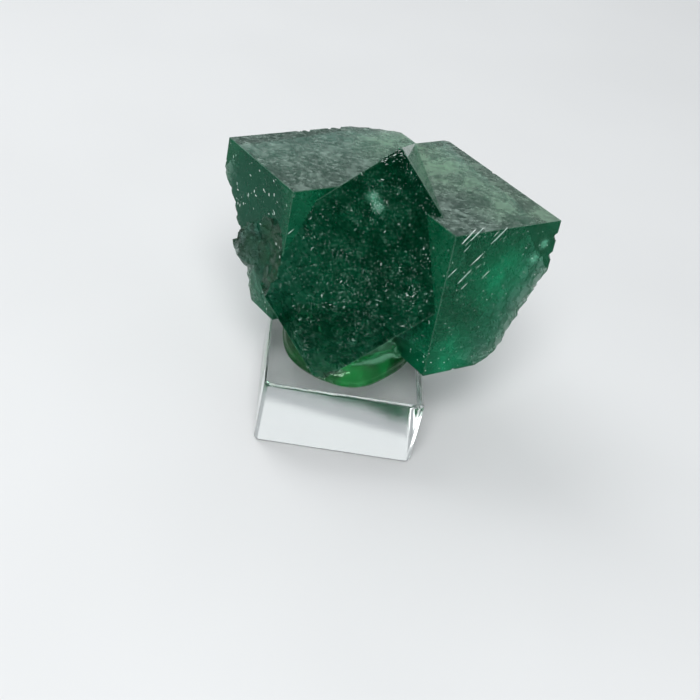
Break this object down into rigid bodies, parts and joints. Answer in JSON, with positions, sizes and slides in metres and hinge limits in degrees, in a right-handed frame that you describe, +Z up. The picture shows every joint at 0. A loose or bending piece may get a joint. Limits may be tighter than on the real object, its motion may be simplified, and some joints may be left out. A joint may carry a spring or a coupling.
{
  "type": "fluorite cube cluster",
  "caption": "Deep green, see-through fluorite: parallel cube crystals with a twinned cube grown through them, broken behind, stuck with clear gel on a clear square block.",
  "frame": {"origin": "centre of the clear block's underside", "axes": "+Z up, +X right along the block's front edge, +Y away from the front"},
  "size_m": [0.0419, 0.0346, 0.0365],
  "materials": {
    "fluorite": "deep green see-through crystal, glassy cube faces, etched tops, rough breaks",
    "gel": "clear soft gel with a rounded rim",
    "acrylic": "clear polished acrylic"
  },
  "bodies": {
    "root": {"fluorite_cluster": "fluorite", "mounting_gel": "gel", "acrylic_base": "acrylic"}
  },
  "joints": []
}
